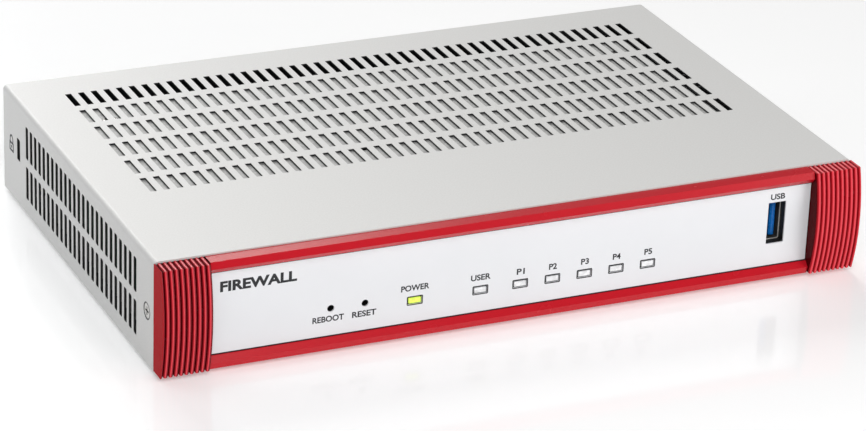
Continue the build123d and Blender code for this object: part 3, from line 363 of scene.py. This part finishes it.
def moulded(name, color, roughness=0.5, grain=0.35, depth=0.006):
    """Moulded plastic with a fine sparked texture."""
    look = Look(name, color, roughness)
    lighter = tuple(min(1, c * 1.12 + 0.002) for c in color)
    darker = tuple(c * 0.88 for c in color)
    look.vary_color(look.noise(grain * 3, 2), darker, lighter)
    look.vary_roughness(look.noise(grain * 2, 2), roughness - 0.06, roughness + 0.08)
    look.bump(look.noise(grain, 2), depth, 0.5)
    return look


def metal(name, color, roughness, grain=0.25, stretch=(1, 1, 1), metallic=1.0):
    """Bare or plated metal with fine drawn lines."""
    look = Look(name, color, roughness, Metallic=metallic)
    lines = look.noise(grain, 3, 0.6, stretch)
    look.vary_roughness(lines, roughness - 0.07, roughness + 0.1)
    look.vary_color(look.noise(grain * 8, 2), tuple(c * 0.93 for c in color), color)
    look.bump(lines, 0.003, 0.5)
    return look


def shield_steel():
    """Plated socket shells, with a painted highlight in light grey on the rims that face the plugs and
    painted shade in dark grey on the walls.
    """
    look = metal("shield_steel", (0.5, 0.49, 0.47), 0.36, stretch=(0.1, 1, 1), metallic=0.5)
    rim_highlight = look.smooth_step(look.math("ABSOLUTE", look.facing()["Y"], 0.0), 0.6, 0.9)
    rim_highlight_color = look.between(look.noise(2, 2), (0.90, 0.88, 0.83), (0.94, 0.92, 0.87))
    # Painted highlight in light grey on the rims and painted shade in dark grey on the walls.
    look.set_color(look.mix(rim_highlight, (0.10, 0.10, 0.095), rim_highlight_color))
    return look


def guide_lit():
    """The light guide of the power light, which glows yellow-green."""
    look = moulded("guide_lit", (0.62, 0.80, 0.10), 0.25)
    glow = look.ramp(look.noise(1.2, 1), [(0.3, (0.60, 0.85, 0.06)), (0.7, (0.80, 1.0, 0.16))])
    look.link(glow, look.shader.inputs["Emission Color"])
    look.shader.inputs["Emission Strength"].default_value = 0.42
    return look


def board_green():
    """Solder mask over tracks: the tracks are a raised, slightly lighter pattern."""
    look = Look("board_green", (0.012, 0.13, 0.055), 0.32)
    tracks = look.node("ShaderNodeTexBrick", Scale=1 / (9 * MM), Mortar_Size=0.035,
                       Row_Height=0.22, Brick_Width=1.3)
    look.link(look.place(), tracks.inputs["Vector"])
    mask, track = (0.010, 0.105, 0.045), (0.02, 0.20, 0.085)
    look.set_color(look.ramp(tracks.outputs["Fac"], [(0.0, mask), (1.0, track)]))
    look.vary_roughness(look.noise(1.5, 2), 0.26, 0.38)
    look.bump(tracks.outputs["Fac"], 0.03, 0.6)
    return look


def capacitor_can():
    """Aluminium cans in black sleeves that leave only the tops bare."""
    sleeve = (0.02, 0.02, 0.024)
    look = moulded("capacitor_can", sleeve, 0.35)
    top = look.smooth_step(look.facing()["Z"], 0.9, 0.97)
    bare = look.between(look.noise(2, 2), (0.30, 0.30, 0.31), (0.36, 0.36, 0.37))
    look.set_color(look.mix(top, sleeve, bare))
    look.link(top, look.shader.inputs["Metallic"])
    return look


# Plain plastics, rubbers and films: colour, roughness, and the size and depth of the grain in mm.
PLASTICS = {
    "backing_black": ((0.005, 0.005, 0.0055), 0.6, 0.35, 0.006),
    "guide_clear": ((0.86, 0.87, 0.88), 0.3, 0.35, 0.006),
    "led_lit": ((0.75, 0.95, 0.2), 0.3, 0.35, 0.006),
    "led_off": ((0.75, 0.74, 0.62), 0.35, 0.35, 0.006),
    "rubber_dark": ((0.03, 0.03, 0.032), 0.8, 0.5, 0.02),
    "chip_black": ((0.022, 0.022, 0.024), 0.55, 0.2, 0.01),
    "sheet_film": ((0.50, 0.49, 0.45), 0.35, 0.35, 0.006),
    # The spreader's grey is darkened as painted shade, for the shade under the cover just above it.
    "spreader_aluminium": ((0.46, 0.46, 0.45), 0.5, 0.6, 0.01),  # a matt coat
    "pad_grey": ((0.25, 0.26, 0.32), 0.85, 0.4, 0.02),
    "socket_black": ((0.018, 0.018, 0.019), 0.5, 0.35, 0.006),
    "usb_blue": ((0.006, 0.19, 0.66), 0.22, 0.35, 0.006),
    "button_black": ((0.016, 0.016, 0.017), 0.4, 0.35, 0.006),
    "stem_white": ((0.75, 0.75, 0.72), 0.4, 0.35, 0.006),
}

# Plain metals: colour and roughness.
METALS = {
    "screw_steel": ((0.55, 0.54, 0.52), 0.2),
    "post_brass": ((0.72, 0.58, 0.33), 0.3),
    "crystal_can": ((0.68, 0.68, 0.68), 0.3),
    "contact_gold": ((0.92, 0.68, 0.26), 0.2),
    "pin_nickel": ((0.72, 0.71, 0.68), 0.2),
}

OTHER_LOOKS = {
    "case_paint": case_paint,
    "bezel_red": bezel_red,
    "panel_white": panel_white,
    "guide_lit": guide_lit,
    "board_green": board_green,
    "capacitor_can": capacitor_can,
    "shield_steel": shield_steel,
    "block_aluminium": lambda: metal("block_aluminium", (0.70, 0.71, 0.72), 0.3, stretch=(0.05, 1, 1)),
}


def make_materials():
    """The material of every slot."""
    looks = {slot: moulded(slot, *values) for slot, values in PLASTICS.items()}
    looks.update((slot, metal(slot, *values)) for slot, values in METALS.items())
    looks.update((slot, make()) for slot, make in OTHER_LOOKS.items())
    return {slot: look.material for slot, look in looks.items()}


SHARP_ANGLE = 32  # degrees; a sharper bend between two faces stays a hard edge


def dress_cad_nodes():
    """Gives every CAD node its slot's material, and smooth shading over its round faces."""
    made = make_materials()
    for part in frame["record"]["subparts"]:
        mesh = nodes[part["node"]].data
        mesh.materials.clear()
        mesh.materials.append(made[part["material_slot"]])
        mesh.shade_smooth()
        mesh.set_sharp_from_angle(angle=math.radians(SHARP_ANGLE))


# ---- printed marks ----------------------------------------------------------------------

INK_THICK = 0.015 * MM
INK_SUNK = 0.004 * MM  # how far the ink reaches into the face below it, so that no gap shows
INK_HALF = (INK_THICK + INK_SUNK) / 2
INK_RISE = (INK_THICK - INK_SUNK) / 2  # from the face to the middle of the ink


def rides(piece, body="root"):
    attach(piece, body)


def join(name, meshes, material):
    """One piece made of several meshes, each a (mesh, matrix) pair."""
    whole = bmesh.new()
    for mesh, matrix in meshes:
        mesh.transform(matrix)
        whole.from_mesh(mesh)
        bpy.data.meshes.remove(mesh)
    data = bpy.data.meshes.new(name)
    whole.to_mesh(data)
    whole.free()
    data.materials.append(material)
    piece = bpy.data.objects.new(name, data)
    bpy.context.scene.collection.objects.link(piece)
    return piece


def text_mesh(text, height, width, bold):
    """Letters centred on the origin in the XY plane, stretched to the given height and width."""
    curve = bpy.data.curves.new("lettering", "FONT")
    curve.body = text
    curve.offset = bold
    curve.resolution_u = 6
    curve.extrude = 1.0
    holder = bpy.data.objects.new("lettering", curve)
    bpy.context.scene.collection.objects.link(holder)
    bpy.context.view_layer.update()
    mesh = bpy.data.meshes.new_from_object(holder.evaluated_get(bpy.context.evaluated_depsgraph_get()))
    bpy.data.objects.remove(holder)
    bpy.data.curves.remove(curve)
    xs = [v.co.x for v in mesh.vertices]
    ys = [v.co.y for v in mesh.vertices]
    stretch = (width / (max(xs) - min(xs)), height / (max(ys) - min(ys)), INK_HALF, 1)
    middle = Vector(((max(xs) + min(xs)) / 2, (max(ys) + min(ys)) / 2, 0))
    mesh.transform(Matrix.Diagonal(stretch) @ Matrix.Translation(-middle))
    return mesh


def flat_mesh(outlines):
    """A thin plate in the XY plane from closed outlines; a second outline is a hole in the first."""
    shape = bmesh.new()
    for outline in outlines:
        points = [shape.verts.new((x, y, 0)) for x, y in outline]
        for a, b in zip(points, points[1:] + points[:1]):
            shape.edges.new((a, b))
    bmesh.ops.triangle_fill(shape, edges=shape.edges[:], use_beauty=True)
    extruded = bmesh.ops.extrude_face_region(shape, geom=shape.faces[:])
    top = [v for v in extruded["geom"] if isinstance(v, bmesh.types.BMVert)]
    bmesh.ops.translate(shape, verts=top, vec=(0, 0, INK_HALF))
    for v in shape.verts:
        if v not in top:
            v.co.z = -INK_HALF
    bmesh.ops.recalc_face_normals(shape, faces=shape.faces[:])
    mesh = bpy.data.meshes.new("plate")
    shape.to_mesh(mesh)
    shape.free()
    return mesh


def rounded_rectangle(width, height, radius, steps=5):
    corners = [(1, 1, 0), (-1, 1, 90), (-1, -1, 180), (1, -1, 270)]
    outline = []
    for sx, sy, start in corners:
        for step in range(steps + 1):
            angle = math.radians(start + 90 * step / steps)
            outline.append((
                sx * (width / 2 - radius) + radius * math.cos(angle),
                sy * (height / 2 - radius) + radius * math.sin(angle),
            ))
    return outline


def circle(radius, steps=32):
    angles = [math.radians(360 * i / steps) for i in range(steps)]
    return [(radius * math.cos(a), radius * math.sin(a)) for a in angles]


def half_circle(radius, height, steps):
    """The upper half of a circle whose middle is at that height."""
    angles = [math.radians(180 * i / steps) for i in range(steps + 1)]
    return [(radius * math.cos(a), height + radius * math.sin(a)) for a in angles]


def ring_mesh(width, height, radius, line):
    """A printed frame whose line lies just outside a window of that width and height."""
    outer = rounded_rectangle(width + 2 * line, height + 2 * line, radius + line)
    return flat_mesh([outer, rounded_rectangle(width, height, radius)])


def on_front(x, z):
    """Places a mark, drawn in its own XY plane, on the white panel."""
    return Matrix.Translation((x, PANEL_FACE - INK_RISE, z)) @ Matrix.Rotation(math.radians(90), 4, "X")


def on_left(y, z):
    turn = Matrix.Rotation(math.radians(-90), 4, "Z") @ Matrix.Rotation(math.radians(90), 4, "X")
    return Matrix.Translation((LEFT_FACE - INK_RISE, y, z)) @ turn


def on_back(x, z):
    turn = Matrix.Rotation(math.radians(180), 4, "Z") @ Matrix.Rotation(math.radians(90), 4, "X")
    return Matrix.Translation((x, BACK_FACE + INK_RISE, z)) @ turn


def solid_boxes(node):
    """The (low, high) corners of the box round each separate solid of a node, from left to right."""
    mesh = nodes[node].data
    shape = bmesh.new()
    shape.from_mesh(mesh)
    bmesh.ops.remove_doubles(shape, verts=shape.verts[:], dist=1e-7)
    boxes, seen = [], set()
    for start in shape.verts:
        if start in seen:
            continue
        seen.add(start)
        island = [start]
        for v in island:
            for e in v.link_edges:
                other = e.other_vert(v)
                if other not in seen:
                    seen.add(other)
                    island.append(other)
        low = Vector(min(v.co[i] for v in island) for i in range(3))
        high = Vector(max(v.co[i] for v in island) for i in range(3))
        boxes.append((low, high))
    shape.free()
    return sorted(boxes, key=lambda box: box[0].x)


def middle_x(low, high):
    return (low.x + high.x) / 2


WINDOW_SIZE, WINDOW_CORNER, WINDOW_LINE = (4.3 * MM, 2.2 * MM), 0.05 * MM, 0.3 * MM
WINDOW_DROP = 0.75 * MM  # from the top of a light guide to the middle of its window

TITLE, TITLE_HEIGHT, TITLE_WIDTH, TITLE_BOLD = "FIREWALL", 3.2 * MM, 22.5 * MM, 0.04
TITLE_X, TITLE_Z = -78.8 * MM, 25.2 * MM

LABEL_HEIGHT, LABEL_BOLD = 1.85 * MM, 0.028
PORT_WIDTH = 2.5 * MM  # of the words P1 to P5
LIGHT_LABEL_RISE = 3.95 * MM  # from the middle of a window to the middle of its word
PORT_LABEL_RISE = 3.8 * MM
USB_LABEL_RISE = 1.75 * MM  # over the socket's shell
# Word, node of the button, shift to the left, height over the floor and width.
BUTTON_LABELS = [("REBOOT", "reboot_stem", 0.7 * MM, 10.45 * MM, 9.4 * MM),
                 ("RESET", "reset_stem", 0.2 * MM, 10.4 * MM, 7.3 * MM)]

LAN_PORTS = 5
BACK_LABEL_RISE = 2.6 * MM  # over the network jacks
BACK_LABELS = [("CONSOLE", "console_port_housing", 11.0 * MM), ("I/O", "power_button", 3.4 * MM),
               ("12 V", "power_inlet", 5.4 * MM)]

# Dark ink lines of painted shade where the panel goes under the rails.
SEAM_SHADE_HEIGHT = 12.42 * MM  # middle of the dark lines where the panel goes under the rails
SEAM_SHADE_SIZE, SEAM_SHADE_CORNER = (2 * BEZEL_INNER - 0.4 * MM, 0.5 * MM), 0.05 * MM
# Painted shade round each side screw head, as a dark ink band.
SCREW_SHADE_RING = (2.2 * MM, 2.6 * MM)  # inner and outer radius

LOCK_MARK_Y, LOCK_MARK_Z = 62.6 * MM, 17.0 * MM
LOCK_BODY, LOCK_BODY_CORNER = (4.0 * MM, 3.1 * MM), 0.3 * MM
LOCK_OPENING, LOCK_OPENING_CORNER = (2.5 * MM, 1.7 * MM), 0.15 * MM
SHACKLE_OUTER, SHACKLE_INNER, SHACKLE_STEPS = 1.65 * MM, 0.95 * MM, 16
SHACKLE_FOOT, SHACKLE_BEND = 1.45 * MM, 2.3 * MM  # over the middle of the padlock's body
LOCK_KEYHOLE = 0.5 * MM  # radius


def label_mesh(text, width):
    return text_mesh(text, LABEL_HEIGHT, width, LABEL_BOLD)


def print_piece(name, marks, ink):
    rides(join(name, marks, ink))


def print_front(ink):
    """Frames round the windows of the lights, the words, and dark lines of painted shade over and under the
    panel, where it goes under the rails.
    """
    lights = solid_boxes("status_light_guides")
    power = solid_boxes("power_light_guide")
    window_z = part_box("power_light_guide")[1].z - WINDOW_DROP
    frames = [(ring_mesh(*WINDOW_SIZE, WINDOW_CORNER, WINDOW_LINE), on_front(middle_x(*box), window_z))
              for box in power + lights]
    print_piece("window_frames", frames, ink)

    marks = []
    for text, stem, shift, z, width in BUTTON_LABELS:
        marks.append((label_mesh(text, width), on_front(middle_x(*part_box(stem)) - shift, z)))
    light_z, port_z = window_z + LIGHT_LABEL_RISE, window_z + PORT_LABEL_RISE
    marks.append((label_mesh("POWER", 8.6 * MM), on_front(middle_x(*power[0]), light_z)))
    marks.append((label_mesh("USER", 6.1 * MM), on_front(middle_x(*lights[0]), light_z)))
    for number, box in enumerate(lights[1:], start=1):
        marks.append((label_mesh(f"P{number}", PORT_WIDTH), on_front(middle_x(*box), port_z)))
    usb_low, usb_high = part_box("usb_shell")
    usb_place = on_front(middle_x(usb_low, usb_high), usb_high.z + USB_LABEL_RISE)
    marks.append((label_mesh("USB", 4.7 * MM), usb_place))
    print_piece("front_labels", marks, ink)

    title = text_mesh(TITLE, TITLE_HEIGHT, TITLE_WIDTH, TITLE_BOLD)
    print_piece("front_title", [(title, on_front(TITLE_X, TITLE_Z))], ink)
    # Painted shade: dark ink lines where the panel goes under the rails.
    seam_shade_marks = []
    for height in (CASE_MIDDLE + SEAM_SHADE_HEIGHT, CASE_MIDDLE - SEAM_SHADE_HEIGHT):
        seam_shade_marks.append((flat_mesh([rounded_rectangle(*SEAM_SHADE_SIZE, SEAM_SHADE_CORNER)]), on_front(0, height)))
    print_piece("panel_seam_shade", seam_shade_marks, ink)


def print_back(ink):
    """Plain names over the sockets of the back."""
    label_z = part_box("lan_port_shield")[1].z + BACK_LABEL_RISE
    low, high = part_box("lan_port_housing")
    marks = []
    for number in range(LAN_PORTS):
        x = low.x + (high.x - low.x) * (number + 0.5) / LAN_PORTS
        marks.append((label_mesh(f"P{LAN_PORTS - number}", PORT_WIDTH), on_back(x, label_z)))
    for text, node, width in BACK_LABELS:
        marks.append((label_mesh(text, width), on_back(middle_x(*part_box(node)), label_z)))
    print_piece("back_labels", marks, ink)


def print_lock_mark(ink):
    """A plain padlock outline next to the lock slot."""
    body = flat_mesh([rounded_rectangle(*LOCK_BODY, LOCK_BODY_CORNER),
                      rounded_rectangle(*LOCK_OPENING, LOCK_OPENING_CORNER)])
    outer = half_circle(SHACKLE_OUTER, SHACKLE_BEND, SHACKLE_STEPS)
    inner = half_circle(SHACKLE_INNER, SHACKLE_BEND, SHACKLE_STEPS)
    shackle = flat_mesh([[(SHACKLE_OUTER, SHACKLE_FOOT), *outer, (-SHACKLE_OUTER, SHACKLE_FOOT),
                          (-SHACKLE_INNER, SHACKLE_FOOT), *reversed(inner), (SHACKLE_INNER, SHACKLE_FOOT)]])
    keyhole = flat_mesh([circle(LOCK_KEYHOLE)])
    place = on_left(LOCK_MARK_Y, LOCK_MARK_Z)
    print_piece("lock_mark", [(mesh, place) for mesh in (body, shackle, keyhole)], ink)


def print_screw_shade_rings(ink):
    """Painted shade: a dark ink band for the shadow in the gap round each flat screw head in the two sides
    of the case.
    """
    marks = []
    for low, high in solid_boxes("side_screws"):
        middle = (low + high) / 2
        shade_band = flat_mesh([circle(SCREW_SHADE_RING[1]), circle(SCREW_SHADE_RING[0])])
        place = on_left(middle.y, middle.z)
        if middle.x > 0:
            place = Matrix.Rotation(math.radians(180), 4, "Z") @ on_left(-middle.y, middle.z)
        marks.append((shade_band, place))
    print_piece("screw_shade_rings", marks, ink)


make_camera()
make_light()
make_floor()
dress_cad_nodes()
ink = moulded("ink_dark", (0.012, 0.013, 0.016), 0.5, grain=0.15, depth=0.001).material
print_front(ink)
print_back(ink)
print_lock_mark(ink)
print_screw_shade_rings(ink)
